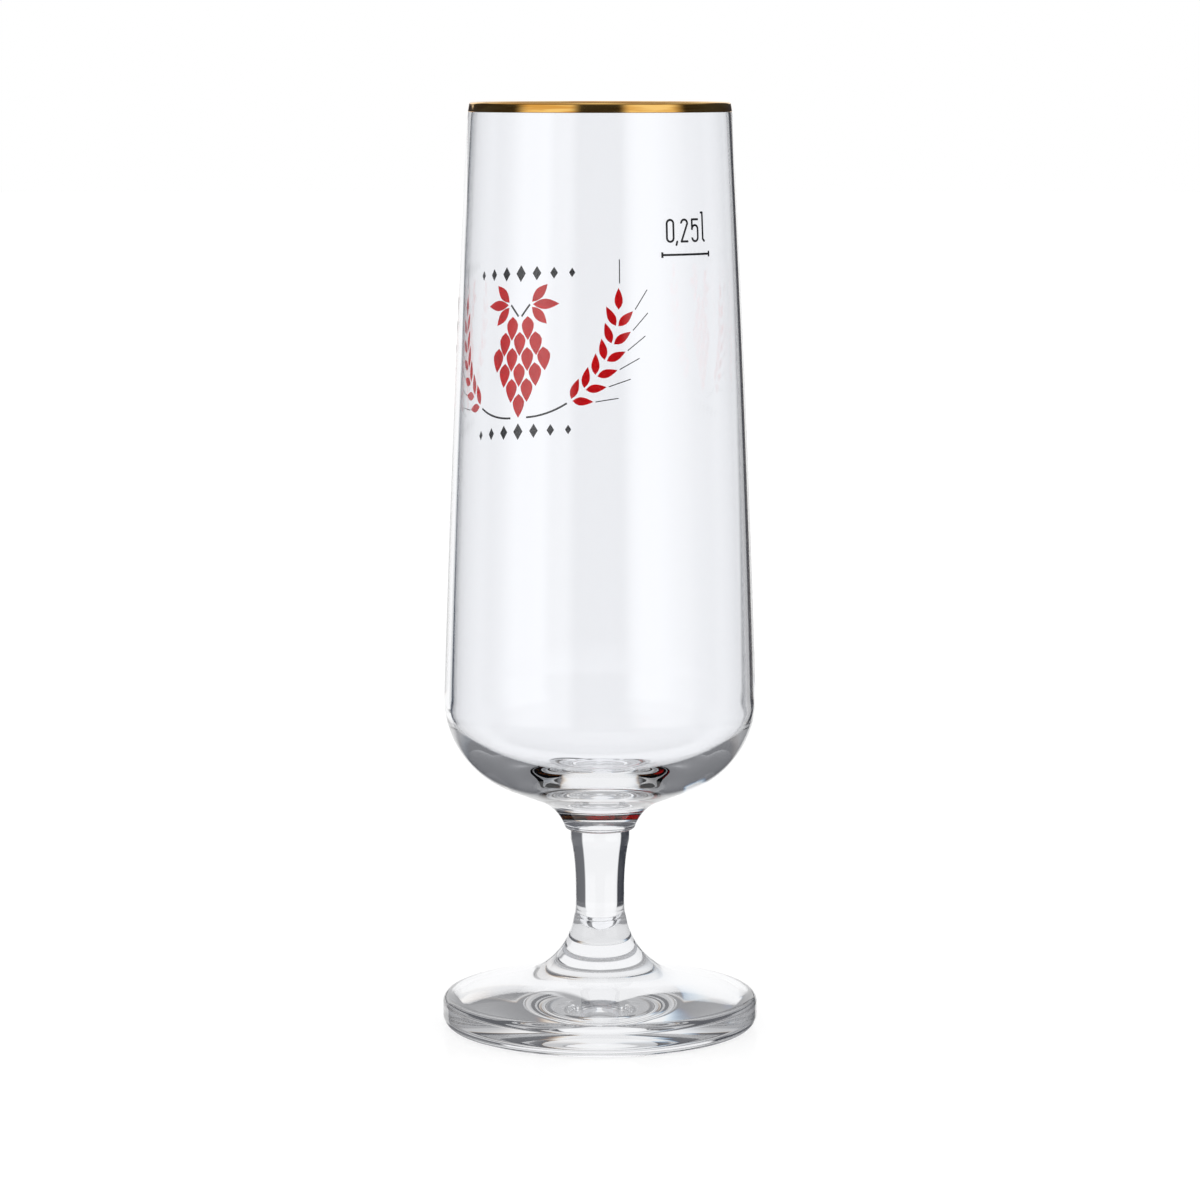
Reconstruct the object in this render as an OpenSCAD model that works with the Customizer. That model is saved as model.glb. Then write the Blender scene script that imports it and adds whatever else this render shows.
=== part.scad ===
// Stemmed beer glass: a tall, slightly tapered bowl on a thick base, a short solid stem
// and a heavy round foot, fused in line, with a gold lip, a measure mark and a print.
// The foot rests on z = 0 and the axis of the glass is the z axis.

/* [Heights] */
// Height of the foot, from the table to its joint with the stem
foot_h = 22.2; // [20:0.1:26]
// Length of the stem between its two joints
stem_l = 17.8; // [14:0.1:40]
// Height of the bowl, from its joint with the stem to the lip
bowl_h = 145; // [120:0.5:180]

/* [Bowl] */
// Outer diameter at the widest place, the belly
belly_d = 62.3; // [58:0.1:70]
// How much smaller the outer diameter is at the lip than at the belly
wall_taper = 10.4; // [4:0.1:14]
// Outward bow of the wall between lip and belly
wall_bow = 0.33; // [0:0.01:1]
// Glass thickness at the lip
lip_wall = 0.9; // [0.7:0.05:1.5]
// Glass thickness at the belly
belly_wall = 1.7; // [1.2:0.05:2.5]
// How far the melted lip draws in
lip_draw = 0.2; // [0:0.05:0.6]
// Height over which the lip draws in
lip_draw_h = 3; // [1:0.5:8]
// Radius of the curve from the wall to the underside
heel_r = 19.3; // [14:0.1:22]
// Slope of the underside, in degrees
under_slope = 21.8; // [16:0.1:30]
// Glass on the axis between the joint and the bowl's floor
base_t = 8.7; // [7:0.1:14]
// Height of the rounded floor, from its middle to the wall
floor_rise = 16.4; // [12:0.1:18]

/* [Knob under the bowl] */
// Diameter of the knob above its rounded end
knob_d = 14.4; // [13:0.1:16]
// Radius of the hollow curve from the underside to the knob
knob_fillet = 9.3; // [6:0.1:10]
// Height of the knob's rounded end
knob_end_h = 0.95; // [0.6:0.05:2]

/* [Stem] */
// Diameter of the joint of bowl and stem
upper_joint_d = 11.9; // [10.5:0.1:12.5]
// Diameter of the stem at its waist
waist_d = 9.84; // [8:0.01:10.2]
// Diameter of the joint of stem and foot
lower_joint_d = 10.5; // [10.3:0.1:12]
// Height of the stem's upper collar
collar_h = 1.9; // [1:0.1:3]
// Height of the waist's lower end above the lower joint
waist_low = 2.3; // [1:0.1:4]
// Height of the straight waist
waist_h = 2.5; // [1:0.1:6]

/* [Foot] */
// Diameter of the foot
foot_d = 63.3; // [56:0.1:70]
// Height of the foot's top face where its rounded edge begins
foot_edge_h = 6.7; // [5.5:0.1:8]
// Slope of the foot's top face, in degrees
foot_slope = 13.8; // [10:0.1:15]
// Radius of the foot's upper edge
edge_top_r = 1.9; // [1:0.1:2.6]
// Radius of the foot's lower edge
edge_low_r = 2.5; // [1:0.1:2.8]
// Width of the flat ring that the foot stands on
stand_w = 1.8; // [1:0.1:4]
// Depth of the hollow under the foot
hollow_h = 2; // [1:0.1:3]

/* [Gold lip] */
// Height of the gold band outside
gold_h = 1.9; // [1:0.1:4]
// Height of the gold band inside
gold_in_h = 1.2; // [0.8:0.1:3]
// Thickness of the gold and of the printed colours
film_t = 0.05; // [0.03:0.01:0.1]

/* [Measure mark] */
// Drop from the lip to the measure line
line_drop = 29; // [20:0.1:40]
// Direction of the middle of the mark, in degrees to the right of the front
mark_az = 37.8; // [0:0.1:360]
// Length of the measure line around the bowl
line_l = 11; // [9:0.5:20]
// Stroke of the line and of the numerals
mark_stroke = 0.42; // [0.3:0.02:0.5]
// Height of the ticks at the line's ends
tick_h = 1.1; // [0.8:0.05:2]
// Height of the numerals
numeral_h = 4.6; // [3.5:0.1:6]
// Width of one numeral
numeral_w = 1.9; // [1.6:0.1:2.4]
// Gap between the line and the numerals
numeral_gap = 2.3; // [1:0.1:3]

/* [Print] */
// Drop from the measure line to the middle of the print
print_drop = 22; // [20:0.1:30]
// Direction of the middle of the print, in degrees to the right of the front
print_az = 216.5; // [0:0.5:360]
// Width of the print around the bowl
print_w = 52; // [40:1:56]
// Height of the print
print_h = 38; // [28:1:40]
// Rows of scales on the hop cone
cone_rows = 6; // [4:1:7]
// Pairs of grains on each ear of barley
grain_pairs = 6; // [4:1:7]
// Stroke of the print's thin lines
print_stroke = 0.4; // [0.3:0.05:0.6]

/* [Hidden] */
$fn = 120;

glass_color = [0.9, 0.93, 0.95, 0.35];
gold_color = [0.83, 0.62, 0.24];
red_color = [0.78, 0.02, 0.03];
black_color = [0.06, 0.06, 0.08];

// Steps on each curve of an outline
curve_steps = 14;
wall_steps = 12;
lip_steps = 8;
// Angle from upright at which the knob's hollow curve and the foot's neck begin, in degrees
knob_lean = 22;
neck_lean = 9;
// The wall thickens from the lip down to the belly by this power
wall_power = 1.6;
// The stem swells from its waist to its ends by this power
stem_power = 2.5;

// Radii and heights that the bowl, the stem and the foot share
stem_z = foot_h;
bowl_z = foot_h + stem_l;
glass_h = bowl_z + bowl_h;
upper_r = upper_joint_d / 2;
lower_r = lower_joint_d / 2;
waist_r = waist_d / 2;
belly_r = belly_d / 2;
rim_r = (belly_d - wall_taper) / 2;
foot_r = foot_d / 2;
line_z = glass_h - line_drop;
print_z = line_z - print_drop;

// Underside of the bowl: the knob's hollow curve, a straight slope and the heel's round curve
slope_turn = 90 - under_slope;
knob_r = knob_d / 2;
knob_z = bowl_z + knob_end_h;
fillet_out_r = knob_r + knob_fillet * (cos(knob_lean) - cos(slope_turn));
fillet_out_z = knob_z + knob_fillet * (sin(slope_turn) - sin(knob_lean));
heel_in_r = belly_r - heel_r * (1 - cos(slope_turn));
heel_in_z = fillet_out_z + (heel_in_r - fillet_out_r) * tan(under_slope);
belly_z = heel_in_z + heel_r * sin(slope_turn);

// Wall: from the belly to the middle of the rounded lip
lip_z = glass_h - film_t - lip_wall / 2;
wall_lean = atan((belly_r - rim_r - 4 * wall_bow) / (lip_z - belly_z));
floor_z = bowl_z + base_t;
floor_top_z = floor_z + floor_rise;

// Share of the wall's height, 0 at the belly and 1 at the lip
function up_share(z) = max(0, min(1, (z - belly_z) / (lip_z - belly_z)));

// Share of the lip's drawn-in height
function draw_share(z) = max(0, (z - lip_z + lip_draw_h) / lip_draw_h);

function bowed_r(z) = belly_r + (rim_r - belly_r) * up_share(z)
    + 4 * wall_bow * up_share(z) * (1 - up_share(z)) - lip_draw * pow(draw_share(z), 2);

function wall_t(z) = lip_wall + (belly_wall - lip_wall) * pow(1 - up_share(z), wall_power);

// Points of an arc about c from angle a to angle b, in degrees
function arc(c, r, a, b, n) = [for (i = [0:n]) c + r * [cos(a + (b - a) * i / n), sin(a + (b - a) * i / n)]];

// Outer wall from the belly to the lip, closer together where the lip draws in
wall_foot_z = belly_z + heel_r * sin(wall_lean);
draw_z = lip_z - lip_draw_h;
wall_points = concat(
    [for (i = [0:wall_steps]) let (z = wall_foot_z + (draw_z - wall_foot_z) * i / wall_steps) [bowed_r(z), z]],
    [for (i = [1:lip_steps]) let (z = draw_z + lip_draw_h * i / lip_steps) [bowed_r(z), z]]
);
wall_table = [for (p = wall_points) [p.y, p.x]];

// Radius of the outer wall on its own outline, so that prints lie face to face with it
function wall_r(z) = lookup(z, wall_table);

lip_mid_r = bowed_r(lip_z) - lip_wall / 2;
inner_points = concat(
    [for (i = [1:lip_steps]) let (z = lip_z - lip_draw_h * i / lip_steps) [bowed_r(z) - wall_t(z), z]],
    [for (i = [1:wall_steps]) let (z = draw_z + (floor_top_z - draw_z) * i / wall_steps) [bowed_r(z) - wall_t(z), z]]
);
inner_table = [for (i = [len(inner_points) - 1:-1:0]) [inner_points[i].y, inner_points[i].x]];
function inner_r(z) = lookup(z, inner_table);
floor_r = bowed_r(floor_top_z) - wall_t(floor_top_z);
floor_points = [
    for (i = [1:curve_steps])
        let (a = 90 * i / curve_steps) [floor_r * cos(a), floor_top_z - floor_rise * sin(a)]
];

// Foot: the neck's hollow curve is as large as the height between joint and edge asks for
neck_turn = 90 - foot_slope;
edge_r = foot_r - edge_top_r * (1 - sin(foot_slope));
neck_c_share = cos(neck_lean) - cos(neck_turn);
neck_s_share = sin(neck_turn) - sin(neck_lean);
neck_rise = foot_h - foot_edge_h - (edge_r - lower_r) * tan(foot_slope);
neck_r = neck_rise / (neck_s_share - neck_c_share * tan(foot_slope));
edge_mid_z = foot_edge_h - edge_top_r * cos(foot_slope);
stand_r = foot_r - edge_low_r - stand_w;
hollow_r = (pow(stand_r, 2) + pow(hollow_h, 2)) / (2 * hollow_h);
hollow_angle = asin(stand_r / hollow_r);

module bowl() {
    under = concat(
        [[0, bowl_z], [upper_r, bowl_z]],
        [for (i = [1:lip_steps]) let (a = 90 * i / lip_steps)
            [upper_r + (knob_r - upper_r) * sin(a), knob_z - knob_end_h * cos(a)]],
        arc([knob_r + knob_fillet * cos(knob_lean), knob_z - knob_fillet * sin(knob_lean)],
            knob_fillet, 180 - knob_lean, 180 - slope_turn, curve_steps),
        arc([belly_r - heel_r, belly_z], heel_r, -slope_turn, wall_lean, curve_steps)
    );
    lip = arc([lip_mid_r, lip_z], lip_wall / 2, 0, 180, lip_steps * 2);
    color(glass_color)
        rotate_extrude()
            polygon(concat(under, wall_points, lip, inner_points, floor_points));
}

module stem() {
    low_z = stem_z + waist_low;
    high_z = low_z + waist_h;
    collar_z = bowl_z - collar_h;
    color(glass_color)
        rotate_extrude()
            polygon(concat(
                [[0, stem_z]],
                [for (i = [0:lip_steps - 1]) let (u = 1 - i / lip_steps)
                    [waist_r + (lower_r - waist_r) * pow(u, stem_power), low_z - waist_low * u]],
                [[waist_r, low_z]],
                [for (i = [0:curve_steps]) let (u = i / curve_steps)
                    [waist_r + (upper_r - waist_r) * pow(u, stem_power), high_z + (collar_z - high_z) * u]],
                [[upper_r, bowl_z], [0, bowl_z]]
            ));
}

module foot() {
    color(glass_color)
        rotate_extrude()
            polygon(concat(
                arc([lower_r + neck_r * cos(neck_lean), foot_h + neck_r * sin(neck_lean)],
                    neck_r, 180 + neck_lean, 180 + neck_turn, curve_steps),
                arc([foot_r - edge_top_r, edge_mid_z], edge_top_r, neck_turn, 0, lip_steps),
                arc([foot_r - edge_low_r, edge_low_r], edge_low_r, 0, -90, lip_steps),
                arc([0, hollow_h - hollow_r], hollow_r, 90 - hollow_angle, 90, curve_steps),
                [[0, foot_h]]
            ));
}

// Band of film on the outer wall between two heights
module wall_film(z0, z1) {
    inside = concat(
        [[wall_r(z0), z0]],
        [for (p = wall_points) if (p.y > z0 && p.y < z1) p],
        [[wall_r(z1), z1]]
    );
    polygon(concat(inside, [for (i = [len(inside) - 1:-1:0]) inside[i] + [film_t, 0]]));
}

module gold_rim() {
    out_z = glass_h - gold_h;
    in_z = glass_h - gold_in_h;
    outside = concat([[wall_r(out_z), out_z]], [for (p = wall_points) if (p.y > out_z && p.y < lip_z) p]);
    inside = concat([for (p = inner_points) if (p.y > in_z) p], [[inner_r(in_z), in_z]]);
    color(gold_color)
        rotate_extrude()
            polygon(concat(
                outside,
                arc([lip_mid_r, lip_z], lip_wall / 2, 0, 180, lip_steps * 2),
                inside,
                [for (i = [len(inside) - 1:-1:0]) inside[i] - [film_t, 0]],
                arc([lip_mid_r, lip_z], lip_wall / 2 + film_t, 180, 0, lip_steps * 2),
                [for (i = [len(outside) - 1:-1:0]) outside[i] + [film_t, 0]]
            ));
}

// Turn from an angle to the right of the front to the angle about the z axis
function turn(az) = az - 90;

// Degrees around the bowl that an arc length takes at height z
function around(l, z) = l / wall_r(z) * 180 / PI;

// Part of a wall film between two heights, reaching at least s along the wall to both sides of az.
// It begins and ends where facets of the bowl do, so that its facets lie flat on the bowl's
module film_strip(az, s, z0, z1) {
    facet = 360 / $fn;
    half = around(s, (z0 + z1) / 2);
    first = floor((turn(az) - half) / facet);
    last = ceil((turn(az) + half) / facet);
    rotate([0, 0, first * facet])
        rotate_extrude(angle = (last - first) * facet)
            wall_film(z0, z1);
}

// A flat shape stood upright at height z and s along the wall from the direction az,
// and pressed onto the wall as a film; it reaches no further than reach from its origin
module stamped(az, s, z, reach) {
    there = az + around(s, z);
    intersection() {
        film_strip(there, reach, z - reach, z + reach);
        rotate([0, 0, turn(there)])
            translate([0, 0, z])
                rotate([90, 0, 90])
                    linear_extrude(height = 2 * belly_r)
                        children();
    }
}

// A straight stroke with round ends
module bar(p, q, w) {
    d = q - p;
    translate(p)
        rotate(atan2(d.y, d.x))
            translate([0, -w / 2])
                square([norm(d), w]);
    translate(p)
        circle(d = w);
    translate(q)
        circle(d = w);
}

// A half ring stroke about c, opening downward when turned by 0
module half_ring(c, r, w, turned) {
    translate(c)
        rotate(turned)
            difference() {
                circle(r + w / 2);
                circle(r - w / 2);
                translate([-2 * r, -2 * r])
                    square([4 * r, 2 * r]);
            }
}

// The numerals are drawn as strokes in a box numeral_w wide, from the baseline up
stroke_r = (numeral_w - mark_stroke) / 2;
numeral_low = mark_stroke / 2;
numeral_top = numeral_h - mark_stroke / 2;

module zero() {
    half_ring([0, numeral_top - stroke_r], stroke_r, mark_stroke, 0);
    half_ring([0, numeral_low + stroke_r], stroke_r, mark_stroke, 180);
    for (side = [-1, 1])
        bar([side * stroke_r, numeral_low + stroke_r], [side * stroke_r, numeral_top - stroke_r], mark_stroke);
}

module comma() {
    bar([0, numeral_low], [-mark_stroke / 2, -mark_stroke], mark_stroke);
}

module two() {
    half_ring([0, numeral_top - stroke_r], stroke_r, mark_stroke, 0);
    bar([stroke_r, numeral_top - stroke_r], [-stroke_r, numeral_low], mark_stroke);
    bar([-stroke_r, numeral_low], [stroke_r, numeral_low], mark_stroke);
}

module five() {
    waist = numeral_top - 2 * stroke_r;
    bar([stroke_r, numeral_top], [-stroke_r, numeral_top], mark_stroke);
    bar([-stroke_r, numeral_top], [-stroke_r, waist - stroke_r / 2], mark_stroke);
    half_ring([0, waist - stroke_r / 2], stroke_r, mark_stroke, 0);
    bar([stroke_r, waist - stroke_r / 2], [stroke_r, numeral_low + stroke_r], mark_stroke);
    half_ring([0, numeral_low + stroke_r], stroke_r, mark_stroke, 180);
}

module litre() {
    tall = numeral_top + numeral_w * 2 / 3;
    bar([-stroke_r / 2, tall], [0, tall], mark_stroke);
    bar([0, tall], [0, numeral_low + stroke_r / 2], mark_stroke);
    bar([0, numeral_low + stroke_r / 2], [stroke_r / 2, numeral_low], mark_stroke);
}

// Places of the characters along the line, as shares of its length from its middle
zero_share = -0.355;
comma_share = -0.213;
two_share = -0.055;
five_share = 0.187;
litre_share = 0.378;

module fill_line() {
    color(black_color)
        stamped(mark_az, 0, line_z, line_l) {
            bar_l = line_l + mark_stroke;
            translate([-bar_l / 2, -mark_stroke / 2])
                square([bar_l, mark_stroke]);
            for (side = [-1, 1])
                translate([(side * bar_l - mark_stroke) / 2, -tick_h / 2])
                    square([mark_stroke, tick_h]);
        }
}

module fill_numerals() {
    base_z = line_z + numeral_gap;
    reach = numeral_h + numeral_w;
    color(black_color) {
        stamped(mark_az, zero_share * line_l, base_z, reach) zero();
        stamped(mark_az, comma_share * line_l, base_z, reach) comma();
        stamped(mark_az, two_share * line_l, base_z, reach) two();
        stamped(mark_az, five_share * line_l, base_z, reach) five();
        stamped(mark_az, litre_share * line_l, base_z, reach) litre();
    }
}

// A pointed leaf from the origin upward, l long and w wide, widest at the share wide_share
leaf_steps = 6;
function leaf_x(u, wide_share) = u < wide_share
    ? pow(sin(90 * u / wide_share), 0.8)
    : 1 - pow((u - wide_share) / (1 - wide_share), 1.6);
module leaf(l, w, wide_share) {
    polygon(concat(
        [for (i = [0:leaf_steps]) let (u = i / leaf_steps) [w / 2 * leaf_x(u, wide_share), l * u]],
        [for (i = [leaf_steps - 1:-1:1]) let (u = i / leaf_steps) [-w / 2 * leaf_x(u, wide_share), l * u]]
    ));
}

module line(l, w) {
    translate([-w / 2, 0])
        square([w, l]);
}

module lozenge(l, w) {
    polygon([[0, -l / 2], [w / 2, 0], [0, l / 2], [-w / 2, 0]]);
}

// Places on the print: x runs along the wall from its middle and y up from its middle
module printed(p, turned, reach) {
    stamped(print_az, p.x, print_z + p.y, reach)
        rotate(turned)
            children();
}

// The picture takes this share of the print's height, and the rows of lozenges the rest
picture_share = 0.7;
picture_h = print_h * picture_share;

// Hop cone: staggered rows of scales that hang down
cone_h_share = 0.78;
cone_top_share = 0.28;
row_h = picture_h * cone_h_share / (cone_rows + 0.55);
cone_top = picture_h * cone_top_share;
scale_l = row_h * 1.55;
scale_w = row_h * 0.96;
scale_step = scale_w * 1.26;
scale_fan = 4;
function row_count(i) = i < 2 ? i + 2 : max(1, cone_rows - i);
module hop_scales() {
    for (i = [0:cone_rows - 1])
        let (n = row_count(i))
            for (k = [0:n - 1])
                let (side = k - (n - 1) / 2)
                    printed([side * scale_step, cone_top - i * row_h], 180 + side * scale_fan, scale_l)
                        leaf(scale_l, scale_w, 0.38);
}

// Point at the distance l from p in the direction a, in degrees to the right of up
function along(p, l, a) = p + l * [sin(a), cos(a)];

// One mark on the right of the print, turned a to the right of up, and its mirror image on the left
module both_sides(p, a, reach) {
    printed(p, -a, reach)
        children();
    printed([-p.x, p.y], 0, reach)
        mirror([1, 0])
            rotate(-a)
                children();
}

// Two short stalks part above the hop cone, and each bears a fan of three leaflets
leaflet_l = row_h * 1.9;
leaflet_w = leaflet_l * 0.36;
leaflet_fan = 45;
leaf_base = [scale_w * 0.8, cone_top + row_h * 0.75];
module hop_leaves() {
    for (i = [-1:1])
        let (a = 90 + i * leaflet_fan)
            both_sides(along(leaf_base, leaflet_w / 3, a), a, leaflet_l)
                leaf(leaflet_l * (1 - abs(i) / 6), leaflet_w, 0.5);
}

module hop_stalks() {
    from = [print_stroke, cone_top];
    d = leaf_base - from;
    both_sides(from, atan2(d.x, d.y), leaflet_l)
        line(norm(d), print_stroke);
}

// Ears of barley: each stalk is a quarter of an ellipse that runs out from the middle and turns up
ear_from_x = print_w * 0.04;
ear_run = print_w * 0.38;
ear_rise = picture_h * 0.82;
ear_low = -picture_h * 0.5;
bare_share = 0.34;
grain_l = ear_rise * 0.205;
grain_w = grain_l * 0.4;
grain_lean = 36;
awn_l = grain_l * 1.1;
function ear_place(u) = [ear_from_x + ear_run * sin(90 * u), ear_low + ear_rise * (1 - cos(90 * u))];
function ear_heading(u) = atan2(ear_run * cos(90 * u), ear_rise * sin(90 * u));
function grain_share(i) = bare_share + (1 - bare_share) * i / grain_pairs;
module ear_grains() {
    for (i = [0:grain_pairs - 1], lean = [-grain_lean, grain_lean])
        let (a = ear_heading(grain_share(i)) + lean, p = along(ear_place(grain_share(i)), grain_w * 0.25, a))
            both_sides(p, a, grain_l)
                leaf(grain_l, grain_w, 0.42);
    both_sides(ear_place(1), ear_heading(1), grain_l)
        leaf(grain_l, grain_w, 0.42);
}

module ear_awns() {
    for (i = [0:grain_pairs - 1])
        let (a = ear_heading(grain_share(i)) + grain_lean, p = along(ear_place(grain_share(i)), grain_l * 1.2, a))
            both_sides(p, a - grain_lean / 3, awn_l)
                line(awn_l, print_stroke / 2);
    both_sides(along(ear_place(1), grain_l * 1.2, ear_heading(1)), ear_heading(1), awn_l)
        line(awn_l, print_stroke / 2);
}

// The bare stalk is drawn whole, about the middle of its run
module ear_stalks() {
    steps = 8;
    mid = ear_place(bare_share / 2);
    half = print_stroke / 2;
    path = [for (i = [0:steps]) let (u = 0.92 * bare_share * i / steps, a = ear_heading(u))
        [ear_place(u) - mid, [cos(a), -sin(a)] * half]];
    both_sides(mid, 0, ear_run)
        polygon(concat(
            [for (p = path) p[0] + p[1]],
            [for (i = [steps:-1:0]) path[i][0] - path[i][1]]
        ));
}

// Rows of lozenges above and below the picture
lozenge_count = 7;
module lozenge_rows() {
    row_y = print_h * (1 + picture_share) / 4;
    lozenge_h = print_h * (1 - picture_share) / 2 * 0.6;
    for (side = [-1, 1], i = [0:lozenge_count - 1])
        let (place = i - (lozenge_count - 1) / 2, size = lozenge_h * (1 - abs(place) / lozenge_count))
            printed([place * lozenge_h * 1.15, side * row_y], 0, lozenge_h)
                lozenge(size, size * 0.7);
}

module print_red() {
    color(red_color) {
        hop_scales();
        hop_leaves();
        ear_grains();
    }
}

module print_black() {
    color(black_color) {
        hop_stalks();
        ear_stalks();
        ear_awns();
        lozenge_rows();
    }
}

bowl();
stem();
foot();
gold_rim();
fill_line();
fill_numerals();
print_red();
print_black();
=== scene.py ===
from math import atan, atan2, cos, degrees, pi, radians, sin, tan

import bmesh
import bpy
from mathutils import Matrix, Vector

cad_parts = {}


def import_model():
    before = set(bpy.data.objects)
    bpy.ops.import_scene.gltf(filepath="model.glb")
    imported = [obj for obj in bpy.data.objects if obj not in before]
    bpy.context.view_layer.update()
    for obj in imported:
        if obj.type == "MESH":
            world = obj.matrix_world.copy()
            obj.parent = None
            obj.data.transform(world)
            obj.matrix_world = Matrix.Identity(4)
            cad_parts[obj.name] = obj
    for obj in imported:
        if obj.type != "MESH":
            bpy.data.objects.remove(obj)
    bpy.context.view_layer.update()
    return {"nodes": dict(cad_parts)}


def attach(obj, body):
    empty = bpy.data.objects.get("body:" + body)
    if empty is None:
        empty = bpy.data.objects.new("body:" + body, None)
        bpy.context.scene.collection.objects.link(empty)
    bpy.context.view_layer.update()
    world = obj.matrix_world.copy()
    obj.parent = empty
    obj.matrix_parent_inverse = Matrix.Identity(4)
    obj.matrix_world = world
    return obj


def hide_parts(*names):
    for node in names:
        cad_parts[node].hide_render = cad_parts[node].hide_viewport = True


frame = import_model()

# A stemmed beer glass: bowl, stem and foot of clear glass, a gold lip, a measure mark and a print.
# Lengths are in metres and angles in degrees. The axis of the glass is z, and the foot stands on z = 0.
MM = 0.001

# Heights of the joints, as in the part's source
FOOT_H = 22.2 * MM
STEM_L = 17.8 * MM
BOWL_H = 145 * MM
BOWL_Z = FOOT_H + STEM_L
GLASS_H = BOWL_Z + BOWL_H

# Bowl
RIM_R = 51.9 / 2 * MM
BELLY_R = 62.3 / 2 * MM
WALL_BOW = 0.33 * MM
LIP_WALL = 0.9 * MM
BELLY_WALL = 1.7 * MM
WALL_POWER = 1.6
LIP_DRAW = 0.2 * MM
LIP_DRAW_H = 3 * MM
HEEL_R = 19.3 * MM
UNDER_SLOPE = 21.8
FLOOR_Z = BOWL_Z + 8.7 * MM
FLOOR_RISE = 16.4 * MM
KNOB_R = 14.4 / 2 * MM
KNOB_FILLET = 9.3 * MM
KNOB_END_H = 0.95 * MM
KNOB_LEAN = 22

# Stem
UPPER_R = 11.9 / 2 * MM
WAIST_R = 9.84 / 2 * MM
LOWER_R = 10.5 / 2 * MM
COLLAR_H = 1.9 * MM
WAIST_LOW = 2.3 * MM
WAIST_H = 2.5 * MM

# Foot
FOOT_R = 63.3 / 2 * MM
FOOT_EDGE_H = 6.7 * MM
FOOT_SLOPE = 13.8
EDGE_TOP_R = 1.9 * MM
EDGE_LOW_R = 2.5 * MM
STAND_W = 1.8 * MM
HOLLOW_H = 2 * MM
NECK_LEAN = 9

# Fired films: the gold band's height outside and inside the lip, and the thickness of them all
GOLD_H = 1.9 * MM
GOLD_IN_H = 1.2 * MM
FILM_T = 0.05 * MM

# Glass reaches this far into the fired colours, which bond to it
BOND = 0.012 * MM

# Faces round a turned body
AROUND = 256

# Camera, at the height of the lip and turned slightly down
CAMERA_AWAY = 837.2 * MM
CAMERA_H = 190.84 * MM
CAMERA_DOWN = 7.12
LENS = 126.8
SENSOR_W = 36

# Floor
FLOOR_R = 6.0
FLOOR_GAP = 0.05 * MM


def turned(a):
    """(cosine, sine) of an angle in degrees."""
    return cos(radians(a)), sin(radians(a))


def arc(centre, r, a, b, steps):
    """Points (r, z) of an arc about centre from angle a to angle b, in degrees."""
    return [
        (centre[0] + r * c, centre[1] + r * s)
        for c, s in (turned(a + (b - a) * i / steps) for i in range(steps + 1))
    ]


# The bowl's underside slopes straight from the knob's fillet to the rounded heel
slope_c, slope_s = turned(90 - UNDER_SLOPE)
lean_c, lean_s = turned(KNOB_LEAN)
knob_z = BOWL_Z + KNOB_END_H
slope_r = KNOB_R + KNOB_FILLET * (lean_c - slope_c)
slope_z = knob_z + KNOB_FILLET * (slope_s - lean_s)
slope_run = BELLY_R - HEEL_R * (1 - slope_c) - slope_r
slope_rise = slope_run * tan(radians(UNDER_SLOPE))
BELLY_Z = slope_z + slope_rise + HEEL_R * slope_s
LIP_Z = GLASS_H - FILM_T - LIP_WALL / 2
WALL_LEAN = degrees(atan((BELLY_R - RIM_R - 4 * WALL_BOW) / (LIP_Z - BELLY_Z)))
FLOOR_TOP = FLOOR_Z + FLOOR_RISE


def up_share(z):
    """Height z as a share of the wall, from 0 at the belly to 1 at the lip."""
    return max(0, min(1, (z - BELLY_Z) / (LIP_Z - BELLY_Z)))


def wall_r(z):
    """Outer radius of the wall at height z."""
    u = up_share(z)
    drawn = max(0, (z - LIP_Z + LIP_DRAW_H) / LIP_DRAW_H)
    return BELLY_R + (RIM_R - BELLY_R) * u + 4 * WALL_BOW * u * (1 - u) - LIP_DRAW * drawn**2


def inner_r(z):
    """Inner radius of the wall at height z."""
    return wall_r(z) - LIP_WALL - (BELLY_WALL - LIP_WALL) * (1 - up_share(z)) ** WALL_POWER


def between(a, b, steps):
    """Even steps from a to b, both ends included."""
    return [a + (b - a) * i / steps for i in range(steps + 1)]


# The wall is finer in steps where it draws in to the lip
wall_foot = BELLY_Z + HEEL_R * sin(radians(WALL_LEAN))
draw_z = LIP_Z - LIP_DRAW_H
lip_mid = wall_r(LIP_Z) - LIP_WALL / 2
wall_heights = between(wall_foot, draw_z, 40) + between(draw_z, LIP_Z, 12)[1:]
inner_heights = between(LIP_Z, draw_z, 12)[1:] + between(draw_z, FLOOR_TOP, 40)[1:]


def bowl_outline():
    """Outline of the bowl from the joint's rim round to the middle of the floor."""
    floor_r = inner_r(FLOOR_TOP)
    knob_end = [
        (UPPER_R + (KNOB_R - UPPER_R) * s, knob_z - KNOB_END_H * c)
        for c, s in (turned(90 * i / 10) for i in range(11))
    ]
    fillet = arc(
        (KNOB_R + KNOB_FILLET * lean_c, knob_z - KNOB_FILLET * lean_s),
        KNOB_FILLET, 180 - KNOB_LEAN, 90 + UNDER_SLOPE, 28,
    )
    slope = [(slope_r + slope_run * u, slope_z + slope_rise * u) for u in between(0, 1, 8)[1:-1]]
    heel = arc((BELLY_R - HEEL_R, BELLY_Z), HEEL_R, UNDER_SLOPE - 90, WALL_LEAN, 48)
    wall = [(wall_r(z) + BOND, z) for z in wall_heights]
    lip = arc((lip_mid, LIP_Z), LIP_WALL / 2 + BOND, 0, 180, 20)[1:-1]
    inside = [(inner_r(z), z) for z in inner_heights]
    floor = [
        (floor_r * c, FLOOR_TOP - FLOOR_RISE * s) for c, s in (turned(90 * i / 60) for i in range(1, 61))
    ]
    outside = knob_end + fillet[1:] + slope + heel + wall[1:]
    return outside + lip + [(inner_r(LIP_Z), LIP_Z)] + inside + floor


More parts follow.
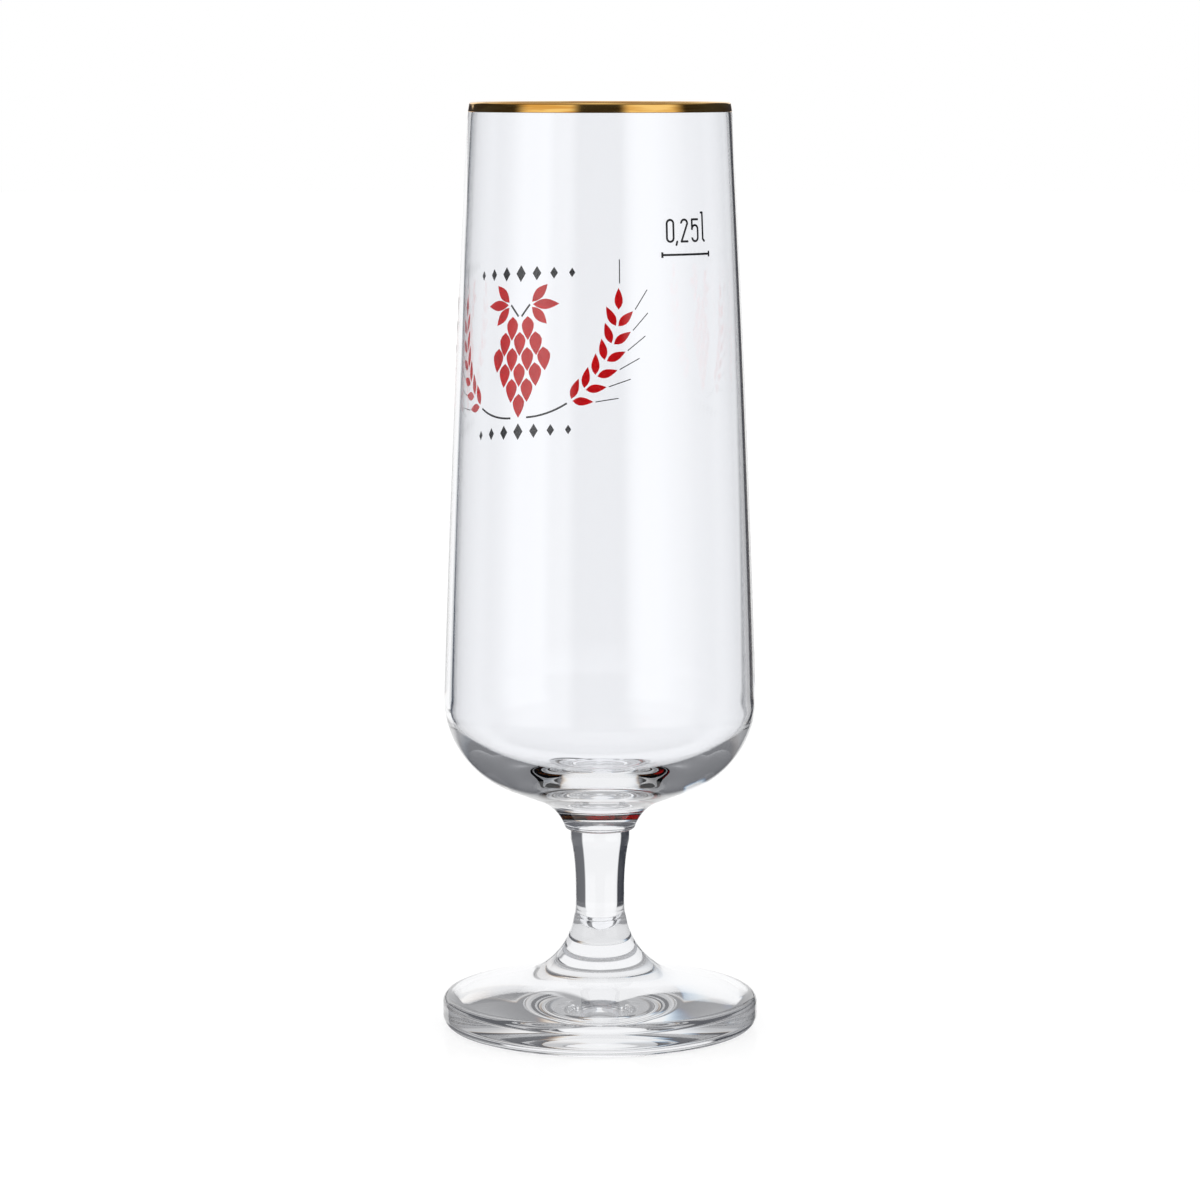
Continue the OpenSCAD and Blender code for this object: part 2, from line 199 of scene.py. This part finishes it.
def stem_outline():
    """Outline of the stem from its lower joint up to its upper one."""
    low = FOOT_H + WAIST_LOW
    high = low + WAIST_H
    collar = BOWL_Z - COLLAR_H
    swell = 2.5
    down = [
        (WAIST_R + (LOWER_R - WAIST_R) * u**swell, low - WAIST_LOW * u) for u in between(1, 0, 12)
    ]
    up = [
        (WAIST_R + (UPPER_R - WAIST_R) * u**swell, high + (collar - high) * u) for u in between(0, 1, 24)
    ]
    straight = [(UPPER_R, z) for z in between(collar, BOWL_Z, 4)[1:]]
    return down + up + straight


def foot_outline():
    """Outline of the foot from its joint down to the standing ring and in to the hollow's middle."""
    turn = 90 - FOOT_SLOPE
    c_slope, s_slope = turned(turn)
    c_neck, s_neck = turned(NECK_LEAN)
    edge_r = FOOT_R - EDGE_TOP_R * (1 - c_slope)
    rise = FOOT_H - FOOT_EDGE_H - (edge_r - LOWER_R) * tan(radians(FOOT_SLOPE))
    neck = rise / ((s_slope - s_neck) - (c_neck - c_slope) * tan(radians(FOOT_SLOPE)))
    centre = (LOWER_R + neck * c_neck, FOOT_H + neck * s_neck)
    neck_arc = arc(centre, neck, 180 + NECK_LEAN, 180 + turn, 48)
    edge_z = FOOT_EDGE_H - EDGE_TOP_R * s_slope
    top_edge = arc((FOOT_R - EDGE_TOP_R, edge_z), EDGE_TOP_R, turn, 0, 16)
    (r0, z0), (r1, z1) = neck_arc[-1], top_edge[0]
    slope = [(r0 + (r1 - r0) * u, z0 + (z1 - z0) * u) for u in between(0, 1, 12)[1:-1]]
    low_edge = arc((FOOT_R - EDGE_LOW_R, EDGE_LOW_R), EDGE_LOW_R, 0, -90, 16)
    stand = FOOT_R - EDGE_LOW_R - STAND_W
    hollow_r = (stand**2 + HOLLOW_H**2) / (2 * HOLLOW_H)
    reach = degrees(atan2(stand, hollow_r - HOLLOW_H))
    hollow = arc((0, HOLLOW_H - hollow_r), hollow_r, 90 - reach, 90, 40)
    return neck_arc + slope + top_edge + low_edge + hollow


def lathe(name, outline, capped=()):
    """A body of revolution. Outline points numbered in capped get a flat cap in its second material."""
    mesh = bmesh.new()
    rings = []
    for r, z in outline:
        if r < 1e-7:
            rings.append([mesh.verts.new((0, 0, z))])
        else:
            rings.append([
                mesh.verts.new((r * sin(2 * pi * k / AROUND), -r * cos(2 * pi * k / AROUND), z))
                for k in range(AROUND)
            ])
    for low, high in zip(rings, rings[1:]):
        for k in range(AROUND):
            j = (k + 1) % AROUND
            if len(high) == 1:
                mesh.faces.new((low[k], low[j], high[0]))
            elif len(low) == 1:
                mesh.faces.new((low[0], high[j], high[k]))
            else:
                mesh.faces.new((low[k], low[j], high[j], high[k]))
    for i in capped:
        ring = rings[i]
        hub = mesh.verts.new((0, 0, outline[i][1]))
        for k in range(AROUND):
            face = mesh.faces.new((ring[k], ring[(k + 1) % AROUND], hub))
            face.material_index = 1
    bmesh.ops.recalc_face_normals(mesh, faces=mesh.faces)
    for face in mesh.faces:
        face.smooth = True
    mesh.verts.ensure_lookup_table()
    for i in capped:
        ring = rings[i]
        for k in range(AROUND):
            mesh.edges.get((ring[k], ring[(k + 1) % AROUND])).smooth = False
    data = bpy.data.meshes.new(name)
    mesh.to_mesh(data)
    mesh.free()
    piece = bpy.data.objects.new(name, data)
    bpy.context.scene.collection.objects.link(piece)
    return piece


class Tap:
    """A socket of a node tree on which sums can be written."""

    def __init__(self, shade, socket):
        self.shade, self.socket = shade, socket

    def math(self, operation, other=0, flipped=False):
        a, b = (other, self) if flipped else (self, other)
        return self.shade.node("Math", {"operation": operation}, {0: a, 1: b})

    def __add__(self, other):
        return self.math("ADD", other)

    def __sub__(self, other):
        return self.math("SUBTRACT", other)

    def __mul__(self, other):
        return self.math("MULTIPLY", other)

    def __truediv__(self, other):
        return self.math("DIVIDE", other)

    def __rsub__(self, other):
        return self.math("SUBTRACT", other, True)

    __radd__ = __add__
    __rmul__ = __mul__


class Shade:
    """The nodes of a material or of the world."""

    def __init__(self, owner):
        owner.use_nodes = True
        self.tree = owner.node_tree
        self.tree.nodes.clear()

    def node(self, kind, settings=None, sockets=None, out=0):
        """A new node of a kind, its settings set first, then its sockets, as the tap of one output."""
        made = self.tree.nodes.new("ShaderNode" + kind)
        for name, value in (settings or {}).items():
            setattr(made, name, value)
        for name, value in (sockets or {}).items():
            if isinstance(value, Tap):
                self.tree.links.new(value.socket, made.inputs[name])
            else:
                made.inputs[name].default_value = value
        return Tap(self, made.outputs[out]) if made.outputs else None

    def finish(self, surface, kind="OutputMaterial"):
        self.node(kind, None, {"Surface": surface})


def ramp(value, low, high):
    """0 below low and 1 above high, with a smooth rise between them."""
    return value.shade.node(
        "MapRange", {"interpolation_type": "SMOOTHSTEP"},
        {"Value": value, "From Min": low, "From Max": high},
    )


def mix(share, a, b):
    """a where share is 0 and b where it is 1, as numbers."""
    return share.shade.node("Mix", {"data_type": "FLOAT"}, {0: share, 2: a, 3: b})


def blend(share, a, b):
    """Colour a where share is 0 and b where it is 1."""
    return share.shade.node("Mix", {"data_type": "RGBA", "clamp_factor": False}, {0: share, 6: a, 7: b}, 2)


def zone(value, low, high, soft=2):
    """1 between low and high and 0 outside, with ends as soft as that many units to each side."""
    return ramp(value - low, -soft, soft) * (1 - ramp(value - high, -soft, soft))


def material(name):
    """A new material and its nodes."""
    made = bpy.data.materials.new(name)
    return made, Shade(made)


def noise(shade, scale, detail=2.0, stretch=(1, 1, 1)):
    """Noise in the object's own coordinates, scale in waves per metre."""
    place = shade.node("TexCoord", out="Object")
    fitted = shade.node("Mapping", None, {"Vector": place, "Scale": stretch})
    return shade.node("TexNoise", None, {"Vector": fitted, "Scale": scale, "Detail": detail})


def clear_glass(name, ripple, colour=(0.975, 0.982, 1.0)):
    """Fire-polished clear glass with the faint ripple that pressing and blowing leave."""
    made, shade = material(name)
    wave = noise(shade, 38, 1.0, (1, 1, 0.35))
    tint = blend(noise(shade, 20), (*colour, 1), (*(c * 0.995 for c in colour), 1))
    bump = shade.node("Bump", None, {"Strength": ripple, "Distance": 0.0002, "Height": wave})
    glass = shade.node("BsdfPrincipled", None, {
        "Base Color": tint, "Roughness": 0.0, "IOR": 1.5, "Transmission Weight": 1.0, "Normal": bump,
    })
    shade.finish(glass)
    return made


def fused_face():
    """The joint's face inside the fused glass, where light passes straight on."""
    made, shade = material("fused_face")
    shade.finish(shade.node("BsdfPrincipled", None, {
        "Base Color": (1, 1, 1, 1), "Roughness": 0.0, "Alpha": 0.0,
    }))
    return made


def gold():
    """Bright fired gold, brushed on round the lip."""
    made, shade = material("fired_gold")
    brushed = noise(shade, 900, 3.0, (0.12, 0.12, 1.6))
    colour = blend(ramp(brushed, 0.35, 0.65), (0.74, 0.36, 0.07, 1), (1.0, 0.62, 0.19, 1))
    shade.finish(shade.node("BsdfPrincipled", None, {
        "Base Color": colour, "Metallic": 1.0, "Roughness": brushed * 0.1 + 0.05,
        "Normal": shade.node("Bump", None, {"Strength": 0.15, "Distance": 0.00002, "Height": brushed}),
    }))
    return made


def enamel(name, colour, deep):
    """Glossy enamel with the grain of its printing mesh. The side fired to the glass has no gloss."""
    made, shade = material(name)
    grain = noise(shade, 4200, 3.0)
    cloud = noise(shade, 260, 2.0)
    printed = blend(ramp(cloud * 0.6 + grain * 0.4, 0.35, 0.65), (*colour, 1), (*deep, 1))
    glossy = shade.node("BsdfPrincipled", None, {
        "Base Color": printed, "Roughness": grain * 0.15 + 0.22, "Specular IOR Level": 0.3,
        "Normal": shade.node("Bump", None, {"Strength": 0.1, "Distance": 0.00001, "Height": grain}),
    })
    matte = shade.node("BsdfPrincipled", None, {
        "Base Color": printed, "Roughness": 1.0, "Specular IOR Level": 0.0,
    })
    # Light inside the glass has passed an odd number of surfaces
    through = shade.node("LightPath", out="Transmission Depth")
    fired_side = (through * 0.5).math("FRACT") * 2
    shade.finish(shade.node("MixShader", None, {0: fired_side, 1: glossy, 2: matte}))
    return made


FUSED = fused_face()


def place_piece(piece, materials, nodes, slot):
    """Finish a piece and put it in the place of its CAD nodes."""
    for one in materials:
        piece.data.materials.append(one)
    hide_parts(*nodes)
    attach(piece, "root")
    # Clear glass lets the lamps' light through
    piece.visible_shadow = slot == "fired_gold"


# Glass
bowl = lathe("bowl_glass", bowl_outline(), capped=[0])
place_piece(bowl, [clear_glass("bowl_glass", 0.03), FUSED], ["bowl"], "bowl_glass")
stem_points = stem_outline()
stem = lathe("stem_glass", stem_points, capped=[0, len(stem_points) - 1])
place_piece(stem, [clear_glass("stem_glass", 0.03), FUSED], ["stem"], "stem_glass")
foot_points = foot_outline()
foot = lathe("foot_glass", foot_points, capped=[0])
place_piece(foot, [clear_glass("foot_glass", 0.05), FUSED], ["foot"], "foot_glass")


# Gold lip
def gold_outline():
    """Outline of the gold film: over the lip from outside, and back along its own inner side."""
    out_z, in_z = GLASS_H - GOLD_H, GLASS_H - GOLD_IN_H
    outside = [(wall_r(z), z) for z in between(out_z, LIP_Z, 12)]
    inside = [(inner_r(z), z) for z in between(LIP_Z, in_z, 8)]
    over = arc((lip_mid, LIP_Z), LIP_WALL / 2, 0, 180, 20)[1:-1]
    cover = arc((lip_mid, LIP_Z), LIP_WALL / 2 + FILM_T, 180, 0, 20)[1:-1]
    back_in = [(r - FILM_T, z) for r, z in reversed(inside)]
    back_out = [(r + FILM_T, z) for r, z in reversed(outside)]
    return outside + over + inside + back_in + cover + back_out


def ring_band(name, outline):
    """A closed ring of the outline's section."""
    piece = lathe(name, outline + outline[:1])
    mesh = bmesh.new()
    mesh.from_mesh(piece.data)
    bmesh.ops.remove_doubles(mesh, verts=mesh.verts, dist=1e-8)
    bmesh.ops.recalc_face_normals(mesh, faces=mesh.faces)
    mesh.to_mesh(piece.data)
    mesh.free()
    return piece


band = ring_band("gold_band", gold_outline())
place_piece(band, [gold()], ["gold_rim"], "fired_gold")

# Fired colours
red = enamel("red_enamel", (0.75, 0.002, 0.004), (0.68, 0.001, 0.003))
black = enamel("black_enamel", (0.008, 0.008, 0.010), (0.014, 0.014, 0.017))
FIRED = {"print_red": red, "print_black": black, "fill_line": black, "fill_numerals": black}
for node, finish in FIRED.items():
    slots = frame["nodes"][node].data.materials
    slots.clear()
    slots.append(finish)


# Stage
def floor_finish():
    """Pale floor with a faint gloss and a light shadow: for the camera, part of its white is its own."""
    made, shade = material("pale_floor")
    direct = shade.node("LightPath", out="Is Camera Ray")
    lit = shade.node("BsdfDiffuse", None, {"Color": (0.9, 0.9, 0.9, 1)})
    seen = shade.node("Emission", None, {"Color": (1, 1, 1, 1), "Strength": 1.13})
    plain = shade.node("MixShader", None, {0: direct * 0.6, 1: lit, 2: seen})
    mirror = shade.node("BsdfGlossy", None, {"Color": (1, 1, 1, 1), "Roughness": 0.05})
    shade.finish(shade.node("MixShader", None, {0: 0.05, 1: plain, 2: mirror}))
    return made


floor = lathe("floor", [(r, 0) for r in between(FLOOR_R, 0, 24)])
floor.location.z = -FLOOR_GAP
floor.data.materials.append(floor_finish())
floor.visible_transmission = False
floor.visible_glossy = False


def at_least(count, n):
    """1 where a ray's count is n or more, else 0."""
    return ramp(count, n - 0.6, n - 0.4)


def above_table(up):
    """1 for a ray that clears the white table, 0 for one that ends on it."""
    return ramp(up, -20, -15)


def passing(bearing, up, wall):
    """Level straight through solid glass, and where wall is 1 through both walls of the bowl."""
    off = bearing.math("ABSOLUTE")
    turn = bearing - (bearing / 90).math("ROUND") * 90
    bands = zone(turn.math("ABSOLUTE"), 16, 31)
    backdrop = zone(bearing, -33.5, 26.7) + (1 - bands) * ramp(off, 66, 70) + ramp(bearing, 24, 30) * 0.13
    solid = backdrop.math("MAXIMUM", 0.85 - ramp(up, -17, -14) * 0.85)
    hollow = 1 - zone(turn, -37, -27) - zone(turn, 15, 26)
    return mix(wall, solid * 0.99, hollow * 1.03)


def thrown_once(bearing, up, inside, wall):
    """Level of light thrown back once: a window, dark flags, pale sides and two panels in front."""
    off = bearing.math("ABSOLUTE")
    rise = ramp(up, 0, 12)
    lip = zone(up, -0.1, 4, 0.3)
    window_left = mix(inside, lip * 22 - 32, zone(up, -2.5, 4, 1) * 6 - 30.5 - rise * 7)
    window = zone(bearing, window_left, mix(inside, 19.5 - lip * 10, 15.5 + rise * 9))
    flags = zone(bearing, -42, 26)
    sides = (1 - flags) * inside * (1 - ramp(off, 95, 125)) * (zone(bearing, 20, 46, 4) * 0.3 + 0.42)
    shifted = off + ramp(bearing, -2, 2) * (inside * 7 + wall * 16)
    panels = (ramp(shifted, mix(inside, 98, 104), mix(inside, 116, 134)) - ramp(shifted, 152, 164)) * 0.95
    level = (window + sides).math("MAXIMUM", wall * (1 - ramp(off, 60, 90)) * 0.9) + panels
    ceiling = (zone(bearing, -44, 24, 6) * 0.6 + 0.3) * (1 - wall * 0.85)
    level = mix(ramp(up, 24, 36), level, ceiling)
    return mix(above_table(up), mix(inside, zone(bearing, -11, 11, 4), 0.8), level)


def thrown_often(bearing, up, wall, deep):
    """Level of light thrown back twice or more inside thick glass. Where deep is 1 it is a little paler."""
    off = bearing.math("ABSOLUTE")
    right = mix(ramp(up, 0, 12), 9, 19)
    level = zone(bearing, -27, right, 4) * 0.8 + 0.06 + ramp(off, 78, 100) * 0.25 + deep * 0.1
    table = 0.92 - ramp(off, 20, 46) * 0.35 - ramp(off, 55, 75) * 0.15
    return mix(wall, mix(above_table(up), table, level), zone(bearing, -33, 20) * 0.4 + 0.55)


def world():
    """A studio that only glass and gloss see: a white backdrop, dark flags, soft panels, a white table.

    Bearings are degrees to the right of straight behind the glass. Levels go from 0, black, to 1, white.
    """
    studio = bpy.data.worlds.new("studio")
    bpy.context.scene.world = studio
    studio.cycles.sampling_method = "NONE"
    shade = Shade(studio)
    camera_ray, diffused, thrown, passed = (
        shade.node("LightPath", out=count)
        for count in ("Is Camera Ray", "Diffuse Depth", "Glossy Depth", "Transmission Depth")
    )
    place = shade.node("TexCoord", out="Generated")
    across, along, height = (shade.node("SeparateXYZ", None, {0: place}, axis) for axis in "XYZ")
    bearing = across.math("ARCTAN2", along) * (180 / pi)
    up = height.math("ARCSINE") * (180 / pi)
    inside, wall = at_least(passed, 1), at_least(passed, 3)
    straight = passing(bearing, up, wall)
    once = thrown_once(bearing, up, inside, wall)

    # Thick glass splits what it throws back often, so that red and blue come from a little aside
    channels = {}
    for k, (aside, dark) in enumerate(((-0.7, 0.042), (0, 0.045), (0.7, 0.056))):
        often = thrown_often(bearing + aside, up + aside * 0.5, wall, at_least(thrown, 4))
        level = mix(at_least(thrown, 1), straight, mix(at_least(thrown, 2), once, often))
        channels[k] = level * (1 - dark) + dark
    seen = shade.node("CombineColor", None, channels)

    # Colours fired on the far side get back the light that the glass before them holds back
    seen = blend(at_least(diffused, 1), seen, at_least(passed, 5) * 1.25 + 1.05)
    seen = blend(camera_ray, seen, (1, 1, 1, 1))
    shade.finish(shade.node("Background", None, {"Color": seen, "Strength": 1.0}), "OutputWorld")


world()


def softbox(name, azimuth, away=1.1, height=0.45, width=1.0, tall=1.3, power=1.5):
    """A large soft lamp at an angle to the right of the front, aimed at the glass."""
    light = bpy.data.lights.new(name, "AREA")
    light.shape = "RECTANGLE"
    light.size, light.size_y = width, tall
    light.energy = power
    lamp = bpy.data.objects.new(name, light)
    c, s = turned(azimuth)
    lamp.location = (away * s, -away * c, height)
    aim = Vector((0, 0, GLASS_H / 2)) - lamp.location
    lamp.rotation_euler = aim.to_track_quat("-Z", "Y").to_euler()
    lamp.visible_camera = False
    lamp.visible_transmission = False
    lamp.visible_glossy = False
    bpy.context.scene.collection.objects.link(lamp)


softbox("softbox_left", -46)
softbox("softbox_right", 50)

camera_data = bpy.data.cameras.new("camera")
camera_data.lens = LENS
camera_data.sensor_width = SENSOR_W
camera = bpy.data.objects.new("camera", camera_data)
camera.location = (0, -CAMERA_AWAY, CAMERA_H)
camera.rotation_euler = (radians(90 - CAMERA_DOWN), 0, 0)
bpy.context.scene.collection.objects.link(camera)
bpy.context.scene.camera = camera
bpy.context.scene.view_settings.view_transform = "Standard"

# Light passes many faces inside thick glass
cycles = bpy.context.scene.cycles
cycles.max_bounces = 40
cycles.transmission_bounces = 40
cycles.glossy_bounces = 24
cycles.transparent_max_bounces = 40
